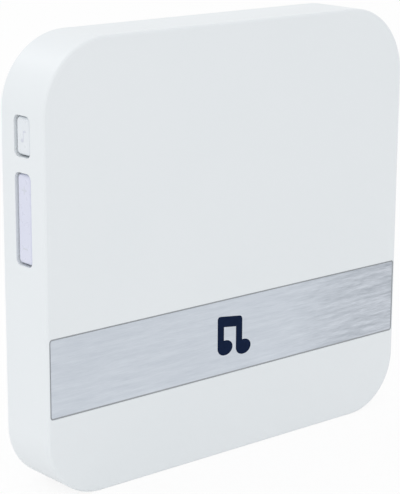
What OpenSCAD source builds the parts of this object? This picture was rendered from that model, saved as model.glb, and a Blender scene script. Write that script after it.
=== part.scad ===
// Indoor chime of a wireless doorbell, with a wall plug at the back.
// Each piece is drawn lying on its back: X to the right, Y to the top, Z from the rear rim to the front face.
// upright() stands it up, front face towards -Y, with the origin under the middle of the base.

/* [Housing] */
// Width of the housing
body_w = 100; // [96:1:112]
// Height of the housing
body_h = 95; // [92:1:108]
// Depth of the housing, from the rear rim to the front face
body_d = 15; // [14:0.5:20]
// Radius of the two upper corners, seen from the front
shoulder_r = 15.5; // [12:0.5:16]
// Radius of the two lower corners, seen from the front
corner_r = 13; // [10:0.5:14]
// Rounding of the front edge
front_edge_r = 0.5; // [0.3:0.1:0.8]
// Rounding of the rear edge
rear_edge_r = 0.8; // [0.3:0.1:1.2]
// Thickness of the side walls
wall = 1.8; // [1.6:0.1:2.2]
// Thickness of the front wall
face_t = 1.8; // [1.6:0.1:2.2]
// Thickness of the ribs beside the screw bosses
rib_t = 1; // [0.8:0.1:1.4]
// Width of the ledges that carry the rear cover's edge
ledge_w = 1.2; // [0.8:0.1:1.6]
// Length of each ledge
ledge_l = 8; // [5:1:10]
// Distance of the ledges from the middle of each wall
ledge_off = 17; // [15:1:20]

/* [Rear cover] */
// Thickness of the rear cover
cover_t = 1.8; // [1.5:0.1:2.2]
// Depth of the cover's outer face inside the rear rim
cover_sink = 0.2; // [0.1:0.1:0.5]
// Gap round the cover in the housing
cover_gap = 0.2; // [0.15:0.05:0.4]
// Width of the sound slots
slot_w = 1.4; // [1:0.1:1.8]
// Distance between the middles of the sound slots
slot_pitch = 3.2; // [2.8:0.1:4]
// Radius of the field of slots
grille_r = 13.5; // [10:0.5:14]

/* [Trim strip] */
// Height of the metal strip
strip_h = 16.4; // [12:0.1:18]
// Height of the strip's middle above the base
strip_up = 26.7; // [24:0.1:30]
// Thickness of the strip
strip_t = 0.5; // [0.4:0.1:0.6]
// Depth of the strip's face below the housing's face
strip_sink = 0.1; // [0.05:0.05:0.2]
// Gap round the strip in its recess
strip_gap = 0.35; // [0.2:0.05:0.4]
// Distance from the strip's ends to the housing's sides
strip_margin = 0.8; // [0.8:0.1:4]
// Corner radius of the strip
strip_corner_r = 0.4; // [0.2:0.1:1]
// Thickness of the tape behind the strip
tape_t = 0.15; // [0.1:0.05:0.2]
// How far the tape stays inside the strip's edge
tape_inset = 0.6; // [0.2:0.1:2]

/* [Side keys] */
// Width of both keys, across the side of the housing
key_w = 4.8; // [4:0.1:5.4]
// Distance of the keys' middle line from the front face
key_from_front = 7.4; // [6.6:0.1:7.8]
// Depth of the keys' faces below the side
key_sink = 0.3; // [0.1:0.1:0.5]
// Corner radius of the keys
key_corner_r = 1; // [0.8:0.1:1.6]
// Rounding of the keys' outer edges
key_edge_r = 0.7; // [0.3:0.05:0.9]
// Gap round each key in its opening
key_gap = 0.35; // [0.3:0.05:0.5]
// Length of the melody button
melody_l = 7.7; // [6.4:0.1:8.4]
// Distance of the melody button's middle from the top
melody_down = 19.5; // [19:0.1:21]
// Travel of the melody button
melody_travel = 0.8; // [0.5:0.1:1]
// Length of the volume rocker
rocker_l = 18.4; // [16:0.1:20]
// Distance of the rocker's middle from the top
rocker_down = 36.4; // [35:0.1:39]
// Tilt of the rocker to each side, in degrees
rocker_tilt = 3.5; // [2:0.5:4]

/* [Key mechanism] */
// Gap between the wall and what turns or slides behind it
inside_gap = 0.3; // [0.2:0.05:0.4]
// Thickness of the melody button's flange
flange_t = 0.8; // [0.6:0.1:1]
// How far the flange reaches behind the wall
flange_over = 1; // [0.6:0.1:1.2]
// Diameter of the stems that press the domes
stem_d = 2.6; // [2.2:0.1:3]
// Distance of the rocker's stems from its axle
stem_off = 6.4; // [5.4:0.1:6.8]
// Diameter of the rocker's axle
axle_d = 1.5; // [1.2:0.1:1.8]
// Radial clearance of the axle in the rocker
axle_fit = 0.05; // [0.02:0.01:0.08]
// Wall round the axle, in the rocker's barrel and in the bracket's ears
barrel_wall = 0.7; // [0.6:0.1:0.9]
// Length of the rocker's barrel, and width of the key board between the ears
barrel_l = 7.2; // [6.4:0.2:7.6]
// Distance of the key board from the outside of the wall
key_board_in = 6.2; // [6:0.1:7]
// Thickness of the key board
key_board_t = 1; // [0.8:0.1:1.2]
// Base diameter of a rubber dome
dome_d = 5; // [4.4:0.1:5.2]
// Height of a dome when it is pressed flat
dome_flat_h = 1.2; // [1:0.1:1.4]
// Wall of a dome
dome_wall = 0.5; // [0.4:0.05:0.6]
// Thickness of the key bracket
bracket_t = 1.2; // [1:0.1:1.6]
// Gap between the bracket and the walls in front of it and behind it
bracket_gap = 0.3; // [0.2:0.1:0.5]
// How far the bracket reaches past the melody button's end
bracket_above = 2; // [1:0.1:2.4]
// How far the bracket reaches past the rocker's end
bracket_below = 5.2; // [5:0.1:8]
// Length of the bracket's screw tabs
tab_l = 4.8; // [4.6:0.1:6]
// Width of the bracket's screw tabs
tab_w = 5; // [4.6:0.1:6]
// Diameter of the posts that hold the key board on the bracket
post_d = 1.6; // [1.2:0.1:1.8]
// Diameter of the posts' flattened heads
post_head_d = 2.4; // [2:0.1:2.8]
// Height of the posts' flattened heads
post_head_h = 0.5; // [0.3:0.1:0.6]
// Distance of the lower post from the rocker's end
post_below = 2.6; // [2:0.1:3]
// Width of the key ribbon
ribbon_w = 5; // [4:0.1:6]
// Thickness of the key ribbon
ribbon_t = 0.4; // [0.3:0.1:0.6]
// Straight stretch of the ribbon at each end
ribbon_land = 1.6; // [1:0.1:2]
// Distance of the ribbon from the bracket and from the key board's end
ribbon_gap = 0.5; // [0.3:0.1:1]

/* [Screws] */
// Distance of the housing screws from the sides
screw_in = 9; // [8.6:0.1:10]
// Shank diameter of the housing screws
housing_screw_d = 2.6; // [2.2:0.1:3]
// Shank length of the housing screws
housing_screw_l = 8; // [6:0.5:9]
// Head diameter of the housing screws
housing_head_d = 4.6; // [4:0.1:5]
// Head height of the housing screws
housing_head_h = 1.6; // [1.2:0.1:1.8]
// Depth of the heads below the rear cover's face
head_sink = 0.3; // [0.1:0.1:0.6]
// Gap round the heads in their cups
head_gap = 0.3; // [0.2:0.1:0.5]
// Wall of the screw cups
cup_wall = 1; // [0.8:0.1:1.2]
// Floor of the screw cups
cup_floor = 1.2; // [1:0.1:1.6]
// Outer diameter of the housing bosses
boss_d = 5.8; // [5:0.1:6]
// Shank diameter of the small screws
small_screw_d = 1.6; // [1.4:0.1:1.8]
// Shank length of the board and bracket screws
small_screw_l = 3.8; // [3.4:0.1:4]
// Head diameter of the small screws
small_head_d = 3.2; // [2.8:0.1:3.4]
// Head height of the small screws
small_head_h = 1.2; // [1:0.1:1.4]
// Radial clearance of a screw in the hole that it cuts
screw_fit = 0.05; // [0.03:0.01:0.1]
// Radial clearance of a screw in a hole that it passes through
screw_pass = 0.25; // [0.15:0.05:0.3]
// Spare depth of a screw hole past the screw's end
screw_spare = 0.4; // [0.2:0.1:0.6]
// Width of the cross recess in a screw head
drive_w = 0.5; // [0.4:0.1:0.7]
// Length of the cross recess, as a part of the head's diameter
drive_share = 0.55; // [0.4:0.05:0.7]
// Depth of the cross recess
drive_depth = 0.7; // [0.4:0.1:0.8]

/* [Main board] */
// Thickness of the main board
board_t = 1.2; // [1:0.1:1.6]
// Height of the standoffs that carry the board and the bracket
standoff_h = 3; // [2.8:0.1:3.4]
// Outer diameter of the standoffs
standoff_d = 4.4; // [3.6:0.1:4.6]
// Distance of the board's upper edge from the housing's top
board_top = 6.5; // [5:0.1:8]
// Gap between the board and the bracket's tabs
board_gap = 0.8; // [0.5:0.1:1]
// How far the board reaches below the key board
board_below = 0.4; // [0:0.1:1]
// Distance of the screw holes from the board's sides and upper edge
hole_in = 3.5; // [3:0.1:4]
// Height of the lower screw holes above the board's lower edge
hole_low = 9; // [8:0.1:10]
// Length of the melody chip
chip_l = 10; // [8:0.1:11]
// Width of the melody chip's body
chip_w = 4; // [3.6:0.1:5]
// Height of the melody chip
chip_h = 1.6; // [1.2:0.1:2]
// Distance between the chip's legs
chip_pitch = 1.27; // [1:0.01:1.27]
// Number of legs on each side of the chip
chip_legs = 7; // [4:1:7]
// Reach of the chip's legs
leg_l = 1; // [0.8:0.1:1.4]
// Width of the chip's legs
leg_w = 0.4; // [0.3:0.05:0.5]
// Distance of the melody chip below the plug's middle
chip_down = 8; // [6:0.5:12]

/* [Power parts] */
// Distance between parts that stand side by side on the board
part_gap = 1.5; // [1.2:0.1:2]
// Length of the film capacitor
film_l = 13; // [10:0.1:14]
// Width of the film capacitor
film_w = 11; // [9:0.1:12]
// Height of the film capacitor on the board
film_h = 5; // [4:0.1:5.2]
// Corner radius of the film capacitor
film_r = 1.2; // [0.8:0.1:2]
// Rounding of the film capacitor's upper edges
film_edge_r = 0.6; // [0.3:0.1:0.7]
// Diameter of the filter capacitor
filter_d = 5; // [4:0.1:5]
// Length of the filter capacitor
filter_l = 11; // [9:0.1:12]
// Diameter of the groove near the filter capacitor's end, less than the can
groove_d = 4.4; // [3.6:0.1:4.6]
// Width of that groove
groove_w = 0.8; // [0.5:0.1:1]
// Distance of the groove from the can's end
groove_at = 1.6; // [1:0.1:2]
// Diameter of the wire legs of round parts
wire_d = 0.6; // [0.5:0.05:0.8]
// Distance between the filter capacitor's wires
wire_pitch = 2; // [1.5:0.1:2.5]
// Reach of the wire legs past a part's end
wire_reach = 1.4; // [1:0.1:2]
// Length of the bridge rectifier
bridge_l = 8; // [7:0.1:8.4]
// Width of the bridge rectifier
bridge_w = 6.4; // [5:0.1:7]
// Height of the bridge rectifier
bridge_h = 3; // [2.4:0.1:3.4]
// Number of legs on each side of the bridge rectifier
bridge_legs = 2; // [2:1:3]
// Diameter of the fusible resistor
fuse_d = 3; // [2.4:0.1:3.4]
// Length of the fusible resistor
fuse_l = 8; // [7:0.1:9]
// Diameter of the choke's flanges
choke_d = 6; // [5:0.1:6.4]
// Diameter of the choke's winding
choke_core_d = 5; // [3:0.1:5.4]
// Height of the choke
choke_h = 4.6; // [4:0.1:5]
// Thickness of the choke's flanges
choke_flange_t = 0.8; // [0.5:0.1:1]

/* [Radio] */
// Width of the radio board
radio_w = 12; // [11:0.1:13]
// Length of the radio board
radio_l = 26; // [24:0.1:28]
// Thickness of the radio board
radio_t = 0.8; // [0.8:0.1:1.2]
// Height of the header between the main board and the radio board
header_h = 1.6; // [1.5:0.1:2]
// Length of the header
header_l = 10; // [8:0.1:10.4]
// Width of the header
header_w = 2.4; // [2:0.1:2.6]
// Distance of the header from the radio board's lower end
header_in = 2.6; // [2:0.1:4]
// Length of the crystal can
crystal_l = 10; // [8:0.1:10.6]
// Width of the crystal can
crystal_w = 4.4; // [3.6:0.1:4.6]
// Height of the crystal can
crystal_h = 2.8; // [2:0.1:3]
// Height of the radio chip
radio_chip_h = 1.2; // [1:0.1:1.4]
// Side of the radio chip
radio_chip_w = 5; // [4:0.1:6]
// Number of legs on each side of the radio chip
radio_chip_legs = 4; // [2:1:4]
// Distance of the radio chip below the radio board's middle
radio_chip_down = 3; // [2:0.1:5]
// Distance of the crystal can above the radio board's middle
crystal_up = 6; // [5:0.1:8]
// Diameter of the antenna coil, at the middle of its wire
coil_d = 4.2; // [3.6:0.1:4.6]
// Diameter of the antenna's wire
coil_wire_d = 0.7; // [0.5:0.05:0.8]
// Distance between the antenna's turns
coil_pitch = 1.7; // [1.4:0.1:2]
// Number of turns of the antenna
coil_turns = 13; // [6:1:15]
// Distance of the coil's axis from the housing's right side
coil_in = 8; // [7:0.1:9]
// Distance of the coil's leg from the radio board's upper end
coil_leg_in = 2; // [1:0.1:4]

/* [Plug] */
// Distance of the plug's middle from the housing's top
plug_down = 32; // [31:0.5:34]
// Width of the plug nose
nose_w = 35; // [32:0.5:36]
// Height of the plug nose
nose_h = 14; // [13:0.5:16]
// Length of the plug nose behind the rear rim
nose_l = 15; // [10:0.5:17]
// Corner radius of the plug nose
nose_corner_r = 6; // [3:0.5:6]
// Rounding of the nose's end
nose_edge_r = 0.8; // [0.4:0.1:1.2]
// Wall of the plug nose
nose_wall = 1.6; // [1.2:0.1:2]
// Thickness of the nose's end wall
nose_end_t = 3; // [2.5:0.1:4]
// Distance between the two pins
pin_spacing = 19; // [17.5:0.1:19.5]
// Diameter of a pin's bare end
pin_d = 4; // [4:0.1:4.8]
// Length of a pin behind the nose
pin_l = 19; // [18:0.5:20]
// Rounding of a pin's end
pin_tip_r = 1.4; // [0.6:0.1:1.8]
// Diameter of a pin inside its sleeve
pin_core_d = 2.8; // [2.4:0.1:3]
// Diameter of a pin's tail inside the housing
pin_tail_d = 2; // [1.6:0.1:2.4]
// Diameter of the collar that stops a pin inside the nose
collar_d = 5.2; // [4.6:0.1:6]
// Thickness of that collar
collar_t = 1; // [0.8:0.1:1.5]
// How far a pin's tail stands inside the rear cover
tail_up = 0.8; // [0.4:0.1:1]
// Diameter of the insulating sleeves
sleeve_d = 3.6; // [3.4:0.1:3.8]
// Length of the sleeves behind the nose
sleeve_l = 10; // [8:0.5:11]
// Depth of the sleeves' seat in the nose
sleeve_seat = 1.5; // [1:0.1:2]
// Radial clearance of pins and sleeves in the nose
pin_fit = 0.03; // [0.02:0.01:0.08]
// Width of a mains contact
contact_w = 4; // [3:0.1:4.4]
// Thickness of a mains contact
contact_t = 0.4; // [0.3:0.05:0.5]
// Length of a contact's foot on the board
contact_foot = 3; // [2:0.1:3.4]
// Length of a contact's pad on the pin
contact_pad = 3; // [2.4:0.1:3.4]

/* [Speaker] */
// Outer diameter of the speaker
speaker_d = 36; // [34:0.5:37]
// Height of the speaker's middle above the base
speaker_up = 25; // [24:0.1:27]
// Radial gap round the speaker in its seat
speaker_gap = 0.2; // [0.1:0.05:0.4]
// Wall of the speaker's seat
seat_wall = 1.2; // [1:0.1:1.5]
// Thickness of the gasket
gasket_t = 0.6; // [0.4:0.1:0.8]
// Thickness of the speaker's sheet steel
steel_t = 0.6; // [0.5:0.1:0.8]
// Width of the speaker's flange
flange_w = 3.2; // [2.6:0.1:3.4]
// Height of the speaker's basket
basket_h = 3.2; // [2.8:0.1:3.6]
// Diameter of the yoke
yoke_d = 18; // [16:0.1:20]
// Thickness of the yoke's wall and floor
yoke_wall = 0.9; // [0.7:0.1:1.2]
// Height of the yoke
yoke_h = 2.6; // [2.4:0.1:3]
// How far the yoke stands out of the basket
yoke_out = 1.3; // [1:0.1:1.5]
// Diameter of the magnet
magnet_d = 12.6; // [11:0.1:13]
// Thickness of the pole plate
pole_t = 0.6; // [0.5:0.1:0.8]
// Mean diameter of the voice coil
voice_d = 14.2; // [13.9:0.1:14.4]
// Wall of the voice coil
voice_wall = 0.4; // [0.3:0.05:0.5]
// Height of the voice coil
voice_h = 1.6; // [1.2:0.1:1.8]
// Thickness of the cone's film
cone_t = 0.2; // [0.15:0.05:0.3]
// Depth of the cone where the voice coil is glued on
cone_depth = 1; // [0.8:0.1:1.2]
// Depth of the middle of the cone's dome
dome_rise = 0.4; // [0.3:0.1:0.6]
// Diameter of the speaker's clamping washers
washer_d = 7.4; // [7:0.1:8]
// Thickness of the clamping washers
washer_t = 0.6; // [0.4:0.1:0.8]
// Shank length of the speaker screws
speaker_screw_l = 2.4; // [2.2:0.1:2.8]
// Spare height that lets the washers clamp the flange
clamp_gap = 0.1; // [0.05:0.05:0.2]
// Diameter of the speaker's leads
lead_d = 1; // [0.8:0.1:1.2]
// Distance between the two leads
lead_pitch = 3; // [2.4:0.1:4]
// How far the leads lean up on their way to the main board
lead_lean = 6; // [4:0.5:8]

/* [Hidden] */
$fn = 64;

// Overlap of a cut past the face that it opens
cut = 0.1;

// Housing: half sizes, and the levels of its inner faces
half_w = body_w / 2;
half_h = body_h / 2;
face_in = body_d - face_t;
cover_in = cover_sink + cover_t;
strip_w = body_w - 2 * strip_margin;
strip_y = strip_up - half_h;
pocket_depth = strip_sink + strip_t + tape_t;

// Keys: where they lie, and how far inside the wall their parts sit
key_z = body_d - key_from_front;
melody_y = half_h - melody_down;
rocker_y = half_h - rocker_down;
barrel_r = axle_d / 2 + barrel_wall;
pivot_in = wall + inside_gap + barrel_r;
flange_in = wall + inside_gap;
melody_dome_h = dome_flat_h + melody_travel;
volume_dome_h = dome_flat_h + stem_off * sin(rocker_tilt);
plate_in = key_board_in + key_board_t;
tab_in = plate_in + bracket_t;
bracket_hi = melody_y + melody_l / 2 + bracket_above;
bracket_lo = rocker_y - rocker_l / 2 - bracket_below;
key_board_lo = bracket_lo - ribbon_w - 2 * ribbon_gap;
post_ys = [(rocker_y + rocker_l / 2 + melody_y - melody_l / 2) / 2, rocker_y - rocker_l / 2 - post_below];

// Main board: its outline and its screw holes
board_front = face_in - standoff_h;
board_rear = board_front - board_t;
board_half_w = half_w - tab_in - tab_l - board_gap;
board_hi = half_h - board_top;
board_lo = key_board_lo - board_below;
board_holes = [
  for (x = [-1, 1], y = [board_hi - hole_in, board_lo + hole_low]) [x * (board_half_w - hole_in), y]
];
tab_holes = [
  for (y = [bracket_lo + tab_w / 2, bracket_hi - tab_w / 2]) [-half_w + tab_in + tab_l / 2, y]
];

// Plug: its middle, and where the parts around it stand on the board
plug_y = half_h - plug_down;
contact_z = cover_in + tail_up;
contact_top = plug_y + contact_pad / 2 + contact_foot;
contact_side = (pin_spacing + contact_w) / 2;
film_at = [-part_gap - film_l / 2, contact_top + part_gap + film_w / 2];
bridge_at = [part_gap + bridge_l / 2, contact_top + part_gap + leg_l + bridge_w / 2];
filter_at = [part_gap + filter_l / 2, bridge_at[1] + bridge_w / 2 + leg_l + part_gap + filter_d / 2];
choke_at = [film_at[0] - film_l / 2 - part_gap - choke_d / 2, film_at[1]];
fuse_at = [-contact_side - part_gap - fuse_d / 2, plug_y - fuse_l / 2];
chip_at = [0, plug_y - chip_down];
radio_at = [
  (board_half_w - hole_in - small_head_d / 2 + contact_side) / 2,
  board_lo + 2 * part_gap + radio_l / 2
];
radio_front = board_rear - header_h;
radio_rear = radio_front - radio_t;

// Speaker: the level of its flange's sound side
speaker_y = speaker_up - half_h;
speaker_r = speaker_d / 2;
speaker_z = cover_in + gasket_t + cone_t;
clamp_off = speaker_r + speaker_gap + standoff_d / 2;
clamp_angles = [45, 135, 225, 315];
seat_h = gasket_t + cone_t + steel_t - clamp_gap;

// Housing screws: their places, and the height of the cups that hold their heads
screw_spots = [for (x = [-1, 1], y = [-1, 1]) [x * (half_w - screw_in), y * (half_h - screw_in)]];
head_floor = cover_sink + head_sink + housing_head_h;
cup_r = housing_head_d / 2 + head_gap + cup_wall;

// Colours, as the photo shows them or as such parts come
shell_white = "#e6ebed";
key_white = "#e4e7f2";
brushed = "#c6ccd4";
tape_grey = "#d9d9d2";
steel = "#b4b8bc";
brass = "#c9a24a";
bronze = "#b98a4a";
board_green = "#2f6b45";
moulded_black = "#26282b";
rubber_grey = "#8d9196";
film_yellow = "#d8b33c";
can_blue = "#27406b";
ceramic_green = "#7fa08a";
ferrite = "#3a3c40";
ribbon_grey = "#c9ccd0";
copper = "#b0653a";
foam_black = "#2d2f31";
cone_grey = "#4a4d52";
lead_red = "#a63a32";

// Stands a piece that is drawn on its back upright
module upright() {
  translate([0, body_d / 2, half_h]) rotate([90, 0, 0]) children();
}

// Puts a piece on the left side: X to the front, Y to the top, Z out of the wall
module on_left(y) {
  translate([-half_w, y, key_z]) rotate([0, -90, 0]) children();
}

// Quarter of a disc, for a rounded edge: it reaches a hair past both straight sides
module quarter_disc(r) {
  intersection() {
    circle(r);
    translate([-cut, -cut]) square(r + 2 * cut);
  }
}

// Half of a section, from the middle line out to r, rounded by top_r above and by low_r below
module edge_section(r, d, top_r, low_r) {
  difference() {
    square([r, d]);
    translate([r - top_r, d - top_r]) square(top_r + cut);
    if (low_r > 0) translate([r - low_r, -cut]) square([low_r + cut, low_r + cut]);
  }
  translate([r - top_r, d - top_r]) quarter_disc(top_r);
  if (low_r > 0) translate([r - low_r, low_r]) mirror([0, 1]) quarter_disc(low_r);
}

// Whole section, both halves
module slab_section(r, d, top_r, low_r) {
  edge_section(r, d, top_r, low_r);
  mirror([1, 0]) edge_section(r, d, top_r, low_r);
}

// Block with round corners and round edges: two crossing slabs and four turned corners
module rounded_block(w, h, d, r, top_r, low_r) {
  rotate([90, 0, 0])
    linear_extrude(height = h - 2 * r, center = true) slab_section(w / 2, d, top_r, low_r);
  rotate([90, 0, 90])
    linear_extrude(height = w - 2 * r, center = true) slab_section(h / 2, d, top_r, low_r);
  for (x = [0, 1], y = [0, 1])
    mirror([x, 0, 0]) mirror([0, y, 0]) translate([w / 2 - r, h / 2 - r, 0])
      rotate_extrude(angle = 90) edge_section(r, d, top_r, low_r);
}

// Rectangle with round corners
module rounded_rect(w, h, r) {
  square([w - 2 * r, h], center = true);
  square([w, h - 2 * r], center = true);
  for (x = [-1, 1], y = [-1, 1]) translate([x * (w / 2 - r), y * (h / 2 - r)]) circle(r);
}

// Plate with round corners
module rounded_plate(w, h, d, r) {
  linear_extrude(height = d) rounded_rect(w, h, r);
}

// Radius of the housing's upper and lower corners, that far inside its outline
function corners(inset) = [shoulder_r - inset, corner_r - inset];

// Outer form of the housing: a slab across, half slabs to the top and the base, and four turned corners
module housing_block() {
  translate([0, (corner_r - shoulder_r) / 2, 0]) rotate([90, 0, 0])
    linear_extrude(height = body_h - shoulder_r - corner_r, center = true)
      slab_section(half_w, body_d, front_edge_r, rear_edge_r);
  for (end = [0, 1]) mirror([0, end, 0]) {
    r = corners(0)[end];
    rotate([90, 0, 90]) linear_extrude(height = body_w - 2 * r, center = true)
      edge_section(half_h, body_d, front_edge_r, rear_edge_r);
    for (x = [0, 1]) mirror([x, 0, 0]) translate([half_w - r, half_h - r, 0])
      rotate_extrude(angle = 90) edge_section(r, body_d, front_edge_r, rear_edge_r);
  }
}

// Plate of the housing's outline, that far inside it
module housing_plate(inset, d) {
  linear_extrude(height = d) {
    translate([0, (corner_r - shoulder_r) / 2])
      square([body_w - 2 * inset, body_h - shoulder_r - corner_r], center = true);
    for (end = [0, 1]) mirror([0, end]) {
      r = corners(inset)[end];
      translate([0, (half_h - inset) / 2]) square([body_w - 2 * (inset + r), half_h - inset], center = true);
      for (x = [-1, 1]) translate([x * (half_w - inset - r), half_h - inset - r]) circle(r);
    }
  }
}

// Tube between two radii
module ring(r_out, r_in, h) {
  difference() {
    cylinder(r = r_out, h = h);
    translate([0, 0, -cut]) cylinder(r = r_in, h = h + 2 * cut);
  }
}

// Slot with round ends, l long in all
module slot(l, w, h) {
  translate([-(l - w) / 2, -w / 2, 0]) cube([l - w, w, h]);
  for (x = [-1, 1]) translate([x * (l - w) / 2, 0, 0]) cylinder(d = w, h = h);
}

// Cross recess cut down into a screw head of diameter d
module drive(d) {
  for (a = [0, 90]) rotate([0, 0, a]) translate([-d * drive_share / 2, -drive_w / 2, -drive_depth])
    cube([d * drive_share, drive_w, drive_depth + cut]);
}

// Screw that points along +Z, with its head below the origin
module screw(d, l, head_d, head_h) {
  difference() {
    union() {
      cylinder(d = d, h = l);
      translate([0, 0, -head_h]) cylinder(d = head_d, h = head_h);
    }
    translate([0, 0, -head_h]) mirror([0, 0, 1]) drive(head_d);
  }
}

// Tube along a path: a ring of n points round each path point, joined by triangles
function tube_points(path, across, up, r, n) = [
  for (i = [0 : len(path) - 1], k = [0 : n - 1])
    path[i] + r * (cos(360 * k / n) * across[i] + sin(360 * k / n) * up[i])
];
function tube_faces(m, n) = concat(
  [for (k = [1 : n - 2]) [0, k, k + 1]],
  [for (k = [1 : n - 2]) [(m - 1) * n, (m - 1) * n + k + 1, (m - 1) * n + k]],
  [for (i = [0 : m - 2], k = [0 : n - 1]) [i * n + k, (i + 1) * n + k, (i + 1) * n + (k + 1) % n]],
  [for (i = [0 : m - 2], k = [0 : n - 1]) [i * n + k, (i + 1) * n + (k + 1) % n, i * n + (k + 1) % n]]
);

// Bosses for the housing screws, with a rib to each of the two walls beside them
module housing_bosses() {
  for (p = screw_spots) translate([p[0], p[1], 0]) {
    translate([0, 0, head_floor + cup_floor]) cylinder(d = boss_d, h = body_d);
    translate([0, 0, head_floor + cup_floor + inside_gap]) {
      translate([p[0] > 0 ? 0 : -body_w, -rib_t / 2, 0]) cube([body_w, rib_t, body_d]);
      translate([-rib_t / 2, p[1] > 0 ? 0 : -body_h, 0]) cube([rib_t, body_h, body_d]);
    }
  }
}

// Ledges along the walls that carry the rear cover's edge, clear of the keys
module cover_ledges() {
  for (x = [-1, 1], y = [-1, 1]) translate([x * ledge_off, y * (half_h - wall), cover_in])
    translate([-ledge_l / 2, y > 0 ? -ledge_w : -wall, 0]) cube([ledge_l, ledge_w + wall, body_d]);
  for (p = [[1, 1], [1, -1], [-1, -1]]) translate([p[0] * (half_w - wall), p[1] * ledge_off, cover_in])
    translate([p[0] > 0 ? -ledge_w : -wall, -ledge_l / 2, 0]) cube([ledge_w + wall, ledge_l, body_d]);
}

// Standoffs for the main board and the key bracket
module standoffs() {
  for (p = concat(board_holes, tab_holes)) translate([p[0], p[1], board_front])
    cylinder(d = standoff_d, h = body_d);
}

// Holes for the screws in the bosses and standoffs
module pilot_holes() {
  for (p = screw_spots) translate([p[0], p[1], head_floor - cut])
    cylinder(r = housing_screw_d / 2 + screw_fit, h = housing_screw_l + screw_spare + cut);
  for (p = concat(board_holes, tab_holes)) translate([p[0], p[1], board_front - cut])
    cylinder(r = small_screw_d / 2 + screw_fit, h = small_screw_l - board_t + screw_spare + cut);
}

module front_cover() {
  color(shell_white) upright() difference() {
    union() {
      difference() {
        housing_block();
        translate([0, 0, -cut]) housing_plate(wall, face_in + cut);
      }
      intersection() {
        housing_plate(wall / 2, body_d - face_t / 2);
        union() {
          housing_bosses();
          cover_ledges();
          standoffs();
        }
      }
    }
    translate([0, strip_y, body_d - pocket_depth])
      rounded_plate(
        strip_w + 2 * strip_gap, strip_h + 2 * strip_gap, pocket_depth + cut, strip_corner_r + strip_gap
      );
    for (k = [[melody_y, melody_l], [rocker_y, rocker_l]]) on_left(k[0]) translate([0, 0, -wall - cut])
      rounded_plate(key_w + 2 * key_gap, k[1] + 2 * key_gap, wall + 2 * cut, key_corner_r + key_gap);
    pilot_holes();
  }
}

// Field of sound slots, each as long as its chord of the field
module sound_slots() {
  rows = floor((grille_r - slot_w) / slot_pitch);
  for (i = [-rows : rows]) translate([0, i * slot_pitch, 0])
    slot(2 * sqrt(pow(grille_r, 2) - pow(i * slot_pitch, 2)), slot_w, cover_t + 2 * cut);
}

// Low wall round the speaker, with the bosses for its clamping screws
module speaker_seat() {
  difference() {
    union() {
      cylinder(r = speaker_r + speaker_gap + seat_wall, h = seat_h + cover_t / 2);
      for (a = clamp_angles) rotate([0, 0, a]) translate([clamp_off, 0, 0])
        cylinder(d = standoff_d, h = seat_h + cover_t / 2);
    }
    translate([0, 0, -cut]) cylinder(r = speaker_r + speaker_gap, h = seat_h + cover_t);
  }
}

module rear_cover() {
  color(shell_white) upright() difference() {
    union() {
      translate([0, 0, cover_sink]) housing_plate(wall + cover_gap, cover_t);
      for (p = screw_spots) translate([p[0], p[1], cover_sink])
        cylinder(r = cup_r, h = head_floor + cup_floor - cover_sink);
      translate([0, speaker_y, cover_in - cover_t / 2]) speaker_seat();
      translate([0, plug_y, cover_in]) mirror([0, 0, 1])
        rounded_block(nose_w, nose_h, cover_in + nose_l, nose_corner_r, nose_edge_r, 0);
    }
    translate([0, plug_y, nose_end_t - nose_l])
      rounded_plate(
        nose_w - 2 * nose_wall, nose_h - 2 * nose_wall, nose_l + cover_in, nose_corner_r - nose_wall
      );
    for (x = [-1, 1]) translate([x * pin_spacing / 2, plug_y, -nose_l - cut]) {
      cylinder(r = pin_core_d / 2 + pin_fit, h = nose_end_t + 2 * cut);
      cylinder(r = sleeve_d / 2 + pin_fit, h = sleeve_seat + cut);
    }
    for (p = screw_spots) translate([p[0], p[1], -cut]) {
      cylinder(r = housing_head_d / 2 + head_gap, h = head_floor + cut);
      cylinder(r = housing_screw_d / 2 + screw_pass, h = head_floor + cup_floor + 2 * cut);
    }
    translate([0, speaker_y, cover_sink - cut]) sound_slots();
    for (a = clamp_angles) translate([0, speaker_y, 0]) rotate([0, 0, a])
      translate([clamp_off, 0, speaker_z + steel_t - speaker_screw_l - screw_spare])
        cylinder(r = small_screw_d / 2 + screw_fit, h = speaker_screw_l + screw_spare);
  }
}

module trim_strip() {
  color(brushed) upright() translate([0, strip_y, body_d - strip_sink - strip_t])
    rounded_plate(strip_w, strip_h, strip_t, strip_corner_r);
}

module strip_tape() {
  color(tape_grey) upright() translate([0, strip_y, body_d - pocket_depth])
    rounded_plate(strip_w - 2 * tape_inset, strip_h - 2 * tape_inset, tape_t, strip_corner_r);
}

module melody_button() {
  color(key_white) upright() on_left(melody_y) {
    translate([0, 0, -flange_in - flange_t])
      rounded_block(key_w, melody_l, flange_in + flange_t - key_sink, key_corner_r, key_edge_r, 0);
    translate([0, 0, -flange_in - flange_t])
      rounded_plate(
        key_w + 2 * flange_over, melody_l + 2 * flange_over, flange_t, key_corner_r + flange_over
      );
    translate([0, 0, melody_dome_h - key_board_in])
      cylinder(d = stem_d, h = key_board_in - melody_dome_h - flange_in);
  }
}

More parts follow.
